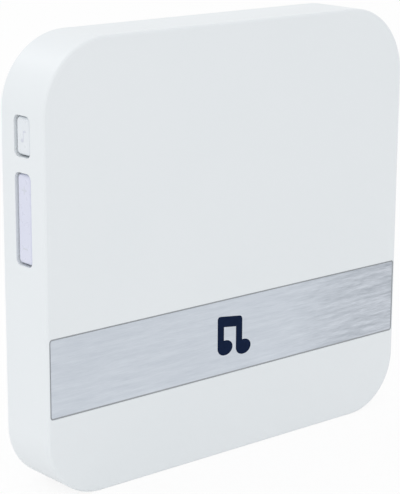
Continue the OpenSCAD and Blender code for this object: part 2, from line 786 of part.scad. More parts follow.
module volume_rocker() {
  color(key_white) upright() on_left(rocker_y) difference() {
    union() {
      translate([0, 0, -pivot_in])
        rounded_block(key_w, rocker_l, pivot_in - key_sink, key_corner_r, key_edge_r, 0);
      translate([-barrel_l / 2, 0, -pivot_in]) rotate([0, 90, 0]) cylinder(r = barrel_r, h = barrel_l);
      for (y = [-1, 1]) translate([0, y * stem_off, volume_dome_h - key_board_in])
        cylinder(d = stem_d, h = key_board_in - volume_dome_h - wall);
    }
    translate([-barrel_l / 2 - cut, 0, -pivot_in]) rotate([0, 90, 0])
      cylinder(r = axle_d / 2 + axle_fit, h = barrel_l + 2 * cut);
  }
}

module rocker_axle() {
  color(steel) upright() translate([-half_w + pivot_in, rocker_y, cover_in + bracket_gap])
    cylinder(d = axle_d, h = face_in - cover_in - 2 * bracket_gap);
}

// One of the bracket's two ears, from z0 to z1, with the axle's hole
module bracket_ear(z0, z1) {
  translate([-half_w + pivot_in, rocker_y, z0]) difference() {
    union() {
      cylinder(r = barrel_r, h = z1 - z0);
      translate([0, -barrel_r, 0]) cube([plate_in + bracket_t / 2 - pivot_in, 2 * barrel_r, z1 - z0]);
    }
    translate([0, 0, -cut]) cylinder(r = axle_d / 2 + pin_fit, h = z1 - z0 + 2 * cut);
  }
}

module key_bracket() {
  low = cover_in + bracket_gap;
  high = face_in - bracket_gap;
  color(shell_white) upright() {
    translate([-half_w + plate_in, bracket_lo, low]) cube([bracket_t, bracket_hi - bracket_lo, high - low]);
    bracket_ear(low, key_z - barrel_l / 2 - inside_gap);
    bracket_ear(key_z + barrel_l / 2 + inside_gap, high);
    for (p = tab_holes) translate([p[0], p[1], board_front - bracket_t]) difference() {
      translate([-(tab_l + bracket_t) / 2, -tab_w / 2, 0]) cube([tab_l + bracket_t / 2, tab_w, bracket_t]);
      translate([0, 0, -cut]) cylinder(r = small_screw_d / 2 + screw_pass, h = bracket_t + 2 * cut);
    }
    for (y = post_ys) on_left(y) {
      translate([0, 0, -plate_in - bracket_t / 2]) cylinder(d = post_d, h = key_board_t + bracket_t / 2);
      translate([0, 0, -key_board_in]) cylinder(d = post_head_d, h = post_head_h);
    }
  }
}

module key_board() {
  color(board_green) upright() difference() {
    translate([-half_w + key_board_in, key_board_lo, key_z - barrel_l / 2])
      cube([key_board_t, bracket_hi - key_board_lo, barrel_l]);
    for (y = post_ys) on_left(y) translate([0, 0, -plate_in - cut])
      cylinder(r = post_d / 2 + pin_fit, h = key_board_t + 2 * cut);
  }
}

// Flat ribbon from the key board's inner face to the main board's rear face
module key_ribbon() {
  start = -half_w + plate_in;
  edge = -board_half_w;
  low = key_z - ribbon_t / 2;
  color(ribbon_grey) upright() translate([0, key_board_lo + ribbon_gap + ribbon_w, 0]) rotate([90, 0, 0])
    linear_extrude(height = ribbon_w) polygon([
      [start, low],
      [start, low + ribbon_t],
      [start + ribbon_land, low + ribbon_t],
      [edge, board_rear],
      [edge + ribbon_land, board_rear],
      [edge + ribbon_land, board_rear - ribbon_t],
      [edge, board_rear - ribbon_t],
      [start + ribbon_land, low]
    ]);
}

// Hollow rubber dome of height h, standing on Z = 0
module dome(h) {
  top_r = (stem_d + dome_wall) / 2;
  rotate_extrude() polygon([
    [0, h],
    [top_r, h],
    [dome_d / 2, dome_wall],
    [dome_d / 2, 0],
    [dome_d / 2 - dome_wall, 0],
    [top_r - dome_wall, h - dome_wall],
    [0, h - dome_wall]
  ]);
}

module melody_dome() {
  color(rubber_grey) upright() on_left(melody_y) translate([0, 0, -key_board_in]) dome(melody_dome_h);
}

module volume_domes() {
  color(rubber_grey) upright() for (y = [-1, 1]) on_left(rocker_y + y * stem_off)
    translate([0, 0, -key_board_in]) dome(volume_dome_h);
}

module main_board() {
  color(board_green) upright() difference() {
    translate([-board_half_w, board_lo, board_rear]) cube([2 * board_half_w, board_hi - board_lo, board_t]);
    for (p = board_holes) translate([p[0], p[1], board_rear - cut])
      cylinder(r = small_screw_d / 2 + screw_pass, h = board_t + 2 * cut);
  }
}

// Chip with a row of bent legs along each side, standing on Z = 0
module chip(l, w, h, legs) {
  stand = leg_w / 2;
  translate([-l / 2, -w / 2, stand]) cube([l, w, h - stand]);
  for (i = [0 : legs - 1], s = [0, 1]) mirror([0, s, 0])
    translate([(i - (legs - 1) / 2) * chip_pitch - leg_w / 2, w / 2, 0]) {
      translate([0, -cut, h / 2 - leg_w / 2]) cube([leg_w, leg_l / 2 + cut, leg_w / 2]);
      translate([0, leg_l / 2 - leg_w / 2, 0]) cube([leg_w, leg_w / 2, h / 2]);
      translate([0, leg_l / 2 - leg_w / 2, 0]) cube([leg_w, leg_l / 2 + leg_w / 2, leg_w / 2]);
    }
}

module melody_chip() {
  color(moulded_black) upright() translate([chip_at[0], chip_at[1], board_front])
    chip(chip_l, chip_w, chip_h, chip_legs);
}

// Puts a part on the board's rear face, with Z away from the board
module on_board(at) {
  translate([at[0], at[1], board_rear]) mirror([0, 0, 1]) children();
}

module film_capacitor() {
  color(film_yellow) upright() on_board(film_at)
    rounded_block(film_l, film_w, film_h, film_r, film_edge_r, 0);
}

// Round part lying along X at height z, with its outline turned from a section
module lying(z) {
  translate([0, 0, z]) rotate([0, 90, 0]) children();
}

// Wire that leaves a lying part at its end face and bends down to the board
module wire_leg(x, y, z) {
  translate([x, y, z]) rotate([0, 90, 0]) cylinder(d = wire_d, h = wire_reach);
  translate([x + wire_reach, y, z]) sphere(d = wire_d);
  translate([x + wire_reach, y, 0]) cylinder(d = wire_d, h = z);
}

module filter_capacitor() {
  r = filter_d / 2;
  z = r + inside_gap;
  color(can_blue) upright() on_board(filter_at) {
    lying(z) translate([0, 0, -filter_l / 2]) difference() {
      cylinder(r = r, h = filter_l);
      translate([0, 0, filter_l - groove_at - groove_w]) ring(filter_d, groove_d / 2, groove_w);
    }
    for (y = [-1, 1]) wire_leg(filter_l / 2, y * wire_pitch / 2, z);
  }
}

module bridge_rectifier() {
  color(moulded_black) upright() on_board(bridge_at) chip(bridge_l, bridge_w, bridge_h, bridge_legs);
}

module fusible_resistor() {
  z = fuse_d / 2 + inside_gap;
  color(ceramic_green) upright() on_board(fuse_at) rotate([0, 0, 90]) {
    lying(z) translate([0, 0, -fuse_l / 2]) cylinder(d = fuse_d, h = fuse_l);
    for (s = [0, 1]) mirror([s, 0, 0]) wire_leg(fuse_l / 2, 0, z);
  }
}

module choke() {
  color(ferrite) upright() on_board(choke_at) {
    cylinder(d = choke_core_d, h = choke_h);
    for (z = [0, choke_h - choke_flange_t]) translate([0, 0, z]) cylinder(d = choke_d, h = choke_flange_t);
  }
}

module radio_board() {
  color(board_green) upright()
    translate([radio_at[0] - radio_w / 2, radio_at[1] - radio_l / 2, radio_rear])
      cube([radio_w, radio_l, radio_t]);
}

module radio_header() {
  color(moulded_black) upright()
    translate([radio_at[0] - header_l / 2, radio_at[1] - radio_l / 2 + header_in - header_w / 2, radio_front])
      cube([header_l, header_w, header_h]);
}

// Puts a part on the radio board's rear face, y above its middle
module on_radio(y) {
  translate([radio_at[0], radio_at[1] + y, radio_rear]) mirror([0, 0, 1]) children();
}

module radio_chip() {
  color(moulded_black) upright() on_radio(-radio_chip_down)
    chip(radio_chip_w, radio_chip_w - leg_l, radio_chip_h, radio_chip_legs);
}

module crystal_can() {
  color(steel) upright() on_radio(crystal_up) slot(crystal_l, crystal_w, crystal_h);
}

// Antenna: a straight leg off the radio board's edge, then a helix down the right side
module antenna_coil() {
  rings = 8;
  sides = 6;
  r = coil_d / 2;
  axis_x = half_w - coil_in;
  leg_x = radio_at[0] + radio_w / 2;
  leg_y = radio_at[1] + radio_l / 2 - coil_leg_in;
  leg_z = radio_rear + radio_t / 2;
  angles = [for (i = [0 : coil_turns * rings]) i * 360 / rings - 90];
  helix = [
    for (a = angles) [axis_x + r * cos(a), leg_y - coil_pitch * (a + 90) / 360, leg_z + r + r * sin(a)]
  ];
  path = concat([[leg_x, leg_y, leg_z]], helix);
  across = concat([[0, 0, -1]], [for (a = angles) [cos(a), 0, sin(a)]]);
  up = [for (i = [0 : len(path) - 1]) [0, 1, 0]];
  color(copper) upright()
    polyhedron(tube_points(path, across, up, coil_wire_d / 2, sides), tube_faces(len(path), sides));
}

// Outline of a pin turned round its axis, from the tail inside to the rounded end
module plug_pins() {
  nose_in = nose_end_t - nose_l;
  color(brass) upright() for (x = [-1, 1]) translate([x * pin_spacing / 2, plug_y, 0]) {
    translate([0, 0, nose_in]) cylinder(d = pin_tail_d, h = contact_z - nose_in);
    translate([0, 0, nose_in]) cylinder(d = collar_d, h = collar_t);
    translate([0, 0, -nose_l - sleeve_l]) cylinder(d = pin_core_d, h = sleeve_l + nose_end_t);
    translate([0, 0, -nose_l - sleeve_l]) mirror([0, 0, 1]) rotate_extrude() intersection() {
      square([pin_d, pin_l]);
      edge_section(pin_d / 2, pin_l - sleeve_l, pin_tip_r, 0);
    }
  }
}

module pin_sleeves() {
  color(moulded_black) upright() for (x = [-1, 1])
    translate([x * pin_spacing / 2, plug_y, -nose_l - sleeve_l])
      ring(sleeve_d / 2, pin_core_d / 2 + pin_fit, sleeve_l + sleeve_seat);
}

// Leaf springs bent from strip: a foot on the board, a slanted arm and a pad on the pin's tail
module mains_contacts() {
  pad = contact_pad / 2;
  color(bronze) upright() for (x = [-1, 1])
    translate([x * pin_spacing / 2 - contact_w / 2, plug_y, 0]) rotate([90, 0, 90])
      linear_extrude(height = contact_w) polygon([
        [-pad, contact_z],
        [pad, contact_z],
        [pad, contact_z + contact_t],
        [-pad + contact_t, contact_z + contact_t],
        [pad, board_rear - contact_t],
        [pad + contact_foot, board_rear - contact_t],
        [pad + contact_foot, board_rear],
        [pad - contact_t, board_rear],
        [-pad, contact_z + 2 * contact_t]
      ]);
}

// Puts a piece on the speaker's axis, with Z from its sound side to its magnet
module on_speaker() {
  translate([0, speaker_y, speaker_z]) children();
}

module speaker_frame() {
  rim = speaker_r - flange_w;
  neck = yoke_d / 2 + pin_fit;
  color(steel) upright() on_speaker() rotate_extrude() polygon([
    [rim, 0],
    [speaker_r, 0],
    [speaker_r, steel_t],
    [rim + steel_t / 2, steel_t],
    [neck + steel_t, basket_h],
    [neck, basket_h],
    [neck, basket_h - 2 * steel_t],
    [rim - steel_t / 2, steel_t / 2]
  ]);
}

module speaker_yoke() {
  bottom = basket_h + yoke_out;
  color(steel) upright() on_speaker() translate([0, 0, bottom - yoke_h]) difference() {
    cylinder(d = yoke_d, h = yoke_h);
    translate([0, 0, -cut]) cylinder(d = yoke_d - 2 * yoke_wall, h = yoke_h - yoke_wall + cut);
  }
}

module speaker_magnet() {
  bottom = basket_h + yoke_out - yoke_wall;
  color(ferrite) upright() on_speaker() translate([0, 0, bottom - yoke_h + yoke_wall + pole_t])
    cylinder(d = magnet_d, h = yoke_h - yoke_wall - pole_t);
}

module pole_plate() {
  color(steel) upright() on_speaker() translate([0, 0, basket_h + yoke_out - yoke_h])
    cylinder(d = magnet_d, h = pole_t);
}

module voice_coil() {
  color(copper) upright() on_speaker() translate([0, 0, cone_depth])
    ring((voice_d + voice_wall) / 2, (voice_d - voice_wall) / 2, voice_h);
}

// Thin pressed film: a flat rim under the flange, a slanted surround, and a dome in the middle
module speaker_cone() {
  rim = speaker_r - flange_w;
  glue = (voice_d + voice_wall) / 2;
  color(cone_grey) upright() on_speaker() rotate_extrude() polygon([
    [speaker_r - steel_t, -cone_t],
    [speaker_r - steel_t, 0],
    [rim - steel_t, 0],
    [glue, cone_depth],
    [glue - voice_wall, cone_depth],
    [0, dome_rise],
    [0, dome_rise - cone_t],
    [glue - voice_wall, cone_depth - cone_t],
    [glue, cone_depth - cone_t],
    [rim - steel_t, -cone_t]
  ]);
}

module speaker_gasket() {
  color(foam_black) upright() translate([0, speaker_y, cover_in])
    ring(speaker_r - steel_t, speaker_r - flange_w, gasket_t);
}

// Two leads that rise from the speaker's flange and bend over to the main board
module speaker_leads() {
  rings = 10;
  sides = 8;
  start_y = speaker_y + speaker_r - flange_w / 2;
  start_z = speaker_z + steel_t;
  rise = board_rear - start_z;
  steps = [for (i = [0 : rings]) i / rings];
  color(lead_red) upright() for (s = [-1, 1]) {
    path = [
      for (t = steps) [s * lead_pitch / 2, start_y + lead_lean * (3 - 2 * t) * t * t, start_z + rise * t]
    ];
    slopes = [for (t = steps) atan2(lead_lean * 6 * t * (1 - t), rise)];
    across = [for (a = slopes) [1, 0, 0]];
    up = [for (a = slopes) [0, cos(a), -sin(a)]];
    polyhedron(tube_points(path, across, up, lead_d / 2, sides), tube_faces(len(path), sides));
  }
}

module speaker_screws() {
  top = speaker_z + steel_t;
  color(steel) upright() translate([0, speaker_y, top]) for (a = clamp_angles)
    rotate([0, 0, a]) translate([clamp_off, 0, 0]) {
      cylinder(d = washer_d, h = washer_t);
      translate([0, 0, washer_t]) mirror([0, 0, 1])
        screw(small_screw_d, speaker_screw_l + washer_t, small_head_d, small_head_h);
    }
}

module board_screws() {
  color(steel) upright() {
    for (p = board_holes) translate([p[0], p[1], board_rear])
      screw(small_screw_d, small_screw_l, small_head_d, small_head_h);
    for (p = tab_holes) translate([p[0], p[1], board_front - bracket_t])
      screw(small_screw_d, small_screw_l - board_t + bracket_t, small_head_d, small_head_h);
  }
}

module housing_screws() {
  color(steel) upright() for (p = screw_spots) translate([p[0], p[1], head_floor])
    screw(housing_screw_d, housing_screw_l, housing_head_d, housing_head_h);
}

front_cover();
rear_cover();
trim_strip();
strip_tape();
melody_button();
volume_rocker();
rocker_axle();
key_bracket();
key_board();
key_ribbon();
melody_dome();
volume_domes();
main_board();
melody_chip();
film_capacitor();
filter_capacitor();
bridge_rectifier();
fusible_resistor();
choke();
radio_board();
radio_header();
radio_chip();
crystal_can();
antenna_coil();
plug_pins();
pin_sleeves();
mains_contacts();
speaker_frame();
speaker_yoke();
speaker_magnet();
pole_plate();
voice_coil();
speaker_cone();
speaker_gasket();
speaker_leads();
speaker_screws();
board_screws();
housing_screws();
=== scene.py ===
# %% [markdown]
# # A plug-in doorbell chime
# The object is the indoor half of a wireless doorbell: a flat white housing that plugs into a wall socket,
# with a strip of brushed metal across its front and two keys in its left side. The solids come from CAD and
# stay as they are. Blender adds what CAD leaves out: the camera, the light, the finishes, the glue round
# the strip, smooth wires, soft domes behind the keys and the printed signs.

import bpy
import numpy as np
from mathutils import Matrix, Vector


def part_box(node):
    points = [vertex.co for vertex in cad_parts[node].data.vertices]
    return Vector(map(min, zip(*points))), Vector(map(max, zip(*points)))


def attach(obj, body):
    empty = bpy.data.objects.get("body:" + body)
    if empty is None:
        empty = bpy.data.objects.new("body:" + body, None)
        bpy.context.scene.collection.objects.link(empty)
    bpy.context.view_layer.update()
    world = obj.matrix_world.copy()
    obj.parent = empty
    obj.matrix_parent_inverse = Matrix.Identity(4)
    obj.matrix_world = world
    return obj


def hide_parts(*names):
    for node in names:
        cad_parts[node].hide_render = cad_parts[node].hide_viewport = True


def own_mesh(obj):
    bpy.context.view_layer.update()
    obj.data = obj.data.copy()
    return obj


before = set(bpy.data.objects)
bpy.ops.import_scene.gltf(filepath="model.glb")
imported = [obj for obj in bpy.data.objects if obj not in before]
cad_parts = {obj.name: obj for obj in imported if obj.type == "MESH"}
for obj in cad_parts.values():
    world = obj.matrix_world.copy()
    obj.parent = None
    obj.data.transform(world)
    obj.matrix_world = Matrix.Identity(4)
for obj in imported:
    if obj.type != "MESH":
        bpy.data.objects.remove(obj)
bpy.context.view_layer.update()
MM = 0.001


def box_mm(name):
    """Lowest corner, highest corner and middle of a CAD node, in millimetres."""
    low, high = (np.array(corner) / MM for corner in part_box(name))
    return low, high, (low + high) / 2


# %% [markdown]
# ## The camera
# A photo of a box tells where the camera stood: the ways its edges run together fix the direction, and how
# fast they do so fixes the distance. The numbers here were fitted to the housing's edges. The camera could
# be aimed by a Track To constraint, but a matrix made of its three axes is exact and also holds the slight
# roll.

# %% Camera
VIEW_AZIMUTH, VIEW_ELEVATION, VIEW_ROLL = np.radians((-40.540, 14.342, 0.262))
VIEW_DISTANCE = 385.73 * MM
VIEW_ASIDE, VIEW_RISE = -7.670 * MM, -1.050 * MM
FRAME_HEIGHT_PX = 494
FOCAL_PX = 1792.93
SENSOR_MM = 36.0
CLIP_START = 10 * MM

cover_low, _, cover_middle = box_mm("front_cover")
face_centre = MM * np.array((cover_middle[0], cover_low[1], cover_middle[2]))
towards_camera = np.array((
    np.sin(VIEW_AZIMUTH) * np.cos(VIEW_ELEVATION),
    -np.cos(VIEW_AZIMUTH) * np.cos(VIEW_ELEVATION),
    np.sin(VIEW_ELEVATION),
))
level = np.array((np.cos(VIEW_AZIMUTH), np.sin(VIEW_AZIMUTH), 0.0))
upward = np.cross(towards_camera, level)
camera_right = np.cos(VIEW_ROLL) * level + np.sin(VIEW_ROLL) * upward
camera_up = np.cos(VIEW_ROLL) * upward - np.sin(VIEW_ROLL) * level
camera_at = (
    face_centre + VIEW_DISTANCE * towards_camera + VIEW_ASIDE * camera_right + VIEW_RISE * camera_up
)

pose = np.eye(4)
pose[:3] = np.stack((camera_right, camera_up, towards_camera, camera_at), axis=1)
lens = bpy.data.cameras.new("photo_camera")
lens.sensor_fit = "VERTICAL"
lens.sensor_height = SENSOR_MM
lens.lens = FOCAL_PX / FRAME_HEIGHT_PX * SENSOR_MM
lens.clip_start = CLIP_START
camera = bpy.data.objects.new("photo_camera", lens)
camera.matrix_world = Matrix(pose.tolist())
bpy.context.collection.objects.link(camera)
bpy.context.scene.camera = camera
bpy.context.scene.view_settings.view_transform = "Standard"
print("camera at", np.round(camera_at / MM, 1), "mm, lens", round(lens.lens, 1), "mm")

# %% [markdown]
# ## Small tools
# A few helpers serve every later cell. One turns the colour of a paint chart, six hex digits, into the
# linear light that shaders work with. One adds a shader node with its settings and links, and one turns the
# size of a pattern into a texture's scale. The last turns arrays of points and faces into a mesh object that
# stands at the origin, with its place in its points.

# %% Helpers for colours, shader nodes and meshes
def linear(hex_colour):
    """Linear red, green, blue and alpha of a colour written as #rrggbb, by the sRGB standard's curve."""
    part = np.array([int(hex_colour[i:i + 2], 16) for i in (1, 3, 5)]) / 255
    light = np.where(part <= 0.04045, part / 12.92, ((part + 0.055) / 1.055) ** 2.4)
    return (*light.tolist(), 1.0)


def feed(tree, made, sockets):
    """Sets or links the inputs of a node."""
    for name, value in sockets.items():
        if isinstance(value, bpy.types.NodeSocket):
            tree.links.new(value, made.inputs[name])
        else:
            made.inputs[name].default_value = value


def node(tree, kind, sockets, **settings):
    """Adds one node: sockets are numbers, colours or links for its inputs, settings its own properties."""
    made = tree.nodes.new(kind)
    for name, value in settings.items():
        setattr(made, name, value)
    feed(tree, made, sockets)
    return made


def per_metre(size_mm):
    """How often a pattern of that size in millimetres repeats in a metre: the Scale of a texture node."""
    return 1.0 / (size_mm * MM)


def mesh_object(name, points, faces, body, finish):
    """A smooth-shaded mesh object of those points and faces, which rides on a body if one is named."""
    mesh = bpy.data.meshes.new(name)
    mesh.from_pydata(points.tolist(), [], faces)
    mesh.shade_smooth()
    mesh.materials.append(finish)
    made = bpy.data.objects.new(name, mesh)
    bpy.context.collection.objects.link(made)
    if body:
        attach(made, body)
    print(name, "has", len(mesh.vertices), "points and", len(mesh.polygons), "faces")
    return made


print("white in linear light:", linear("#ffffff"), "a grain of 0.5 mm:", per_metre(0.5), "per metre")

# %% [markdown]
# ## Floor and light
# The chime stands on a white floor in a bright, soft studio. A wide floor would catch the lamps unevenly,
# so what the camera and mirror-like finishes see of it is mostly an even white, and the rest is a matt paint
# that keeps the object's shadow. The world is an even dome. One large soft lamp at the front left makes the
# side a little brighter than the front, and a smaller one behind at the upper left puts a sheen on the
# rounded corner. Together they give a level near 1, at which a colour renders about as it is written.

# %% White floor
FLOOR_HALF_M, FLOOR_CELLS = 3.0, 8
FLOOR_DROP = 0.02 * MM
FLOOR_EVEN_WHITE = 0.88


def grid_cells(shape):
    """The numbers of the four corner points of each cell in a grid of points of that shape, in turn."""
    index = np.arange(np.prod(shape)).reshape(shape)
    return np.stack((index[:-1, :-1], index[1:, :-1], index[1:, 1:], index[:-1, 1:]), axis=-1)


def floor_grid(half, drop, cells):
    """A flat square: x and y run over a grid from -half to half, and z is a hair below the object."""
    side = np.linspace(-half, half, cells + 1)
    x, y = np.meshgrid(side, side, indexing="ij")
    points = np.stack((x, y, np.full_like(x, -drop)), axis=-1).reshape(-1, 3)
    return points, grid_cells(x.shape).reshape(-1, 4).tolist()


def seen_directly(tree):
    """1 for what the camera sees, directly, mirrored or through a clear finish, and 0 for other light."""
    ray = node(tree, "ShaderNodeLightPath", {})
    seen = ray.outputs["Is Camera Ray"]
    for way in ("Is Glossy Ray", "Is Transmission Ray"):
        seen = node(tree, "ShaderNodeMath", {0: seen, 1: ray.outputs[way]}, operation="MAXIMUM").outputs[0]
    return seen


paint = bpy.data.materials.new("studio_floor_matt_white_paint")
paint.use_nodes = True
tree = paint.node_tree
tree.nodes.clear()
matt = node(tree, "ShaderNodeBsdfDiffuse", {"Color": linear("#f8f8f8")})
even = node(tree, "ShaderNodeEmission", {"Color": linear("#ffffff"), "Strength": 1.0})
share = node(tree, "ShaderNodeMath", {0: seen_directly(tree), 1: FLOOR_EVEN_WHITE}, operation="MULTIPLY")
blend = node(tree, "ShaderNodeMixShader", {0: share.outputs[0], 1: matt.outputs[0], 2: even.outputs[0]})
node(tree, "ShaderNodeOutputMaterial", {"Surface": blend.outputs[0]})
floor = mesh_object("studio_floor", *floor_grid(FLOOR_HALF_M, FLOOR_DROP, FLOOR_CELLS), None, paint)

# %% Soft studio light
DOME_LEVEL = 0.92
LAMP_DISTANCE_M = 1.2
SOFTBOXES = {
    "front_softbox": {"from": (-0.71, -0.38, 0.59), "watts": 1.4, "side_m": 0.8},
    "rear_softbox": {"from": (-0.24, 0.73, 0.64), "watts": 1.0, "side_m": 0.3},
}

dome = bpy.data.worlds.new("studio_dome")
dome.use_nodes = True
tree = dome.node_tree
tree.nodes.clear()
strength = node(tree, "ShaderNodeMapRange", {
    "Value": seen_directly(tree), "To Min": DOME_LEVEL, "To Max": 1.0})
sky = node(tree, "ShaderNodeBackground", {"Color": linear("#ffffff"), "Strength": strength.outputs[0]})
node(tree, "ShaderNodeOutputWorld", {"Surface": sky.outputs[0]})
bpy.context.scene.world = dome

for name, box in SOFTBOXES.items():
    softbox = bpy.data.lights.new(name, "AREA")
    softbox.shape = "SQUARE"
    softbox.size = box["side_m"]
    softbox.energy = box["watts"]
    beam = np.array(box["from"]) / np.linalg.norm(box["from"])
    beam_side = np.cross((0.0, 0.0, 1.0), beam)
    beam_side /= np.linalg.norm(beam_side)
    lamp_at = face_centre + LAMP_DISTANCE_M * beam
    aim = np.eye(4)
    aim[:3] = np.stack((beam_side, np.cross(beam, beam_side), beam, lamp_at), axis=1)
    lamp = bpy.data.objects.new(name, softbox)
    lamp.matrix_world = Matrix(aim.tolist())
    bpy.context.collection.objects.link(lamp)
    print(name, "of", box["watts"], "W at", np.round(lamp_at, 2), "m")
print("dome level", DOME_LEVEL)

# %% [markdown]
# ## Plain finishes
# Most pieces have a plain finish: a moulded plastic, a plated or a painted surface. Even the plainest is
# never one flat colour. It has two close tones in soft patches, from how the melt flowed or how the plating
# settled, and a fine grain that breaks its gloss. Two noise textures give both: the wide one mixes the
# tones, and the fine one moves the roughness and makes a relief of a few micrometres. The housing is the
# first piece to get such a finish.

# %% Functions for finishes, and white ABS, moulded
MICRON = 1e-6


def new_finish(name):
    """A material with the default shader, its node tree and the Object coordinates in it."""
    finish = bpy.data.materials.new(name)
    finish.use_nodes = True
    place = node(finish.node_tree, "ShaderNodeTexCoord", {}).outputs["Object"]
    return finish, finish.node_tree, place


def dress(tree, share, tones, grain, rough, relief_um, metallic=0.0, ior=1.5, gloss_level=0.5):
    """Feeds the shader of a finish.

    As share goes from 0 to 1, the colour goes from the first tone to the second. As grain goes from 0 to 1,
    the roughness goes over the range rough, and the surface rises by relief_um micrometres.
    """
    colour = node(tree, "ShaderNodeMix", {0: share, 6: tones[0], 7: tones[1]}, data_type="RGBA")
    gloss = node(tree, "ShaderNodeMapRange", {"Value": grain, "To Min": rough[0], "To Max": rough[1]})
    relief = node(tree, "ShaderNodeBump", {"Height": grain, "Distance": relief_um * MICRON})
    feed(tree, tree.nodes["Principled BSDF"], {
        "Base Color": colour.outputs[2], "Roughness": gloss.outputs[0], "Normal": relief.outputs[0],
        "Metallic": metallic, "IOR": ior, "Specular IOR Level": gloss_level})


def plain_finish(name, tones, patch_mm, grain_mm, rough, relief_um, **shader):
    """Two tones mixed by a noise of patch_mm; roughness and relief follow a noise of grain_mm."""
    finish, tree, place = new_finish(name)
    patches, grain = [
        node(tree, "ShaderNodeTexNoise", {"Vector": place, "Scale": per_metre(size), "Detail": detail})
        for size, detail in ((patch_mm, 2.0), (grain_mm, 3.0))
    ]
    tones = [linear(tone) for tone in tones]
    dress(tree, patches.outputs["Fac"], tones, grain.outputs["Fac"], rough, relief_um, **shader)
    return finish


# ABS from a finely spark-eroded mould: an even white with a hint of blue, matt enough to hide finger marks,
# with a wide soft sheen on its rounded corners.
housing_abs = plain_finish(
    "abs_moulded_white", ("#e4e9ec", "#e7ebee"),
    patch_mm=26, grain_mm=0.35, rough=(0.40, 0.52), relief_um=3, ior=1.53)
print("finish", housing_abs.name)

# %% Key plastics, polished
# The keys come from a polished mould, so their faces are smoother than the housing and show a soft gloss.
# The rocker's tones lean a little to violet, which sets it off from the button above.
button_abs = plain_finish(
    "abs_polished_white", ("#dfe4e9", "#e4e9ee"),
    patch_mm=5, grain_mm=1.5, rough=(0.25, 0.31), relief_um=0.3, ior=1.53)
rocker_abs = plain_finish(
    "abs_polished_lavender", ("#d4d7e8", "#dadded"),
    patch_mm=6, grain_mm=1.5, rough=(0.25, 0.31), relief_um=0.3, ior=1.53)
print("finishes", button_abs.name, rocker_abs.name)

# %% [markdown]
# ## Brushed aluminium
# The strip is a thin sheet of aluminium, brushed lengthwise by a belt and then clear anodised. The belt
# leaves fine scratches that all run along the strip, each some millimetres long, in wider bands. A noise
# stretched along X draws them: Mapping makes one step along X as long as a scratch and one step along Z as
# thin as a line. Real lines are about 0.05 mm apart, too fine for this picture, so they are drawn 0.16 mm
# apart. Towards the right end the scratches are coarser, and the strip is painted darker there, a painted
# shade for a dimmer reflection: a second pair of tones, darker and further apart, takes over.

# %% Aluminium, brushed lengthwise
SCRATCH_L_MM, SCRATCH_W_MM = 2.4, 0.16
BAND_L_MM, BAND_W_MM = 9.0, 0.8
BRUSHING_LOW, BRUSHING_HIGH = 0.6, 1.4
SHADE_FROM_MM, SHADE_TO_MM = 8, 48
# The second pair of tones is darker: painted shade for the strip's right end.
BRIGHT_TONES, SHADED_COARSE_TONES = ("#c4cbd4", "#d5dbe3"), ("#a1a8b1", "#d8dde5")


def streaks(tree, place, length_mm, width_mm, detail, roughness):
    """A noise whose steps are length_mm long along X and width_mm wide in the other directions."""
    stretched = node(tree, "ShaderNodeMapping", {
        "Vector": place, "Scale": [per_metre(size) for size in (length_mm, width_mm, width_mm)]})
    noise = node(tree, "ShaderNodeTexNoise", {
        "Vector": stretched.outputs[0], "Scale": 1.0, "Detail": detail, "Roughness": roughness})
    return noise.outputs["Fac"]


brushed_aluminium, tree, place = new_finish("aluminium_brushed_anodised")
scratches = streaks(tree, place, SCRATCH_L_MM, SCRATCH_W_MM, detail=3.0, roughness=0.6)
bands = streaks(tree, place, BAND_L_MM, BAND_W_MM, detail=2.0, roughness=0.5)
brushing = node(tree, "ShaderNodeMath", {0: scratches, 1: bands}, operation="ADD")
spread = node(tree, "ShaderNodeMapRange", {
    "Value": brushing.outputs[0], "From Min": BRUSHING_LOW, "From Max": BRUSHING_HIGH})
bright, shaded_coarse = [
    node(tree, "ShaderNodeMix", {0: spread.outputs[0], 6: linear(dark), 7: linear(pale)}, data_type="RGBA")
    for dark, pale in (BRIGHT_TONES, SHADED_COARSE_TONES)
]
axes = node(tree, "ShaderNodeSeparateXYZ", {0: place})
# Painted shade: towards the right end, along X, the colour turns to the second, darker pair of tones.
painted_end_shade = node(tree, "ShaderNodeMapRange", {
    "Value": axes.outputs["X"], "From Min": SHADE_FROM_MM * MM, "From Max": SHADE_TO_MM * MM,
}, interpolation_type="SMOOTHSTEP")
dress(
    tree, painted_end_shade.outputs[0], (bright.outputs[2], shaded_coarse.outputs[2]),
    scratches, rough=(0.30, 0.46), relief_um=3, metallic=1.0)
print("finish", brushed_aluminium.name, "with scratches of", SCRATCH_L_MM, "by", SCRATCH_W_MM, "mm")

# %% [markdown]
# ## Other metals
# The plug's pins are turned from brass and nickel plated. Screws, the speaker's basket and the crystal's
# can are steel with a zinc coat. The antenna and the voice coil are copper wire under a clear enamel, and
# the mains contacts are rolled bronze. A metal shows only what it mirrors, tinted by its own colour, so
# Metallic is 1 and the tones are the metal's own.

# %% Nickel, zinc, copper and bronze
# Bright nickel on turned brass: a warm pale mirror with a slight blur.
pin_nickel = plain_finish(
    "brass_turned_nickel_plated", ("#c8c5bd", "#d6d3cc"),
    patch_mm=4, grain_mm=0.25, rough=(0.18, 0.28), relief_um=2, metallic=1.0)
# Dull zinc on pressed steel: a cool, cloudy grey.
zinc_steel = plain_finish(
    "steel_pressed_zinc_plated", ("#aeb3b8", "#c4c8cc"),
    patch_mm=1.5, grain_mm=0.3, rough=(0.28, 0.42), relief_um=4, metallic=1.0)
# Clear enamel on drawn copper: a deep red brown with a smooth gloss.
enamelled_copper = plain_finish(
    "copper_drawn_enamelled", ("#a65f30", "#bd7643"),
    patch_mm=2, grain_mm=0.4, rough=(0.22, 0.32), relief_um=1, metallic=1.0)
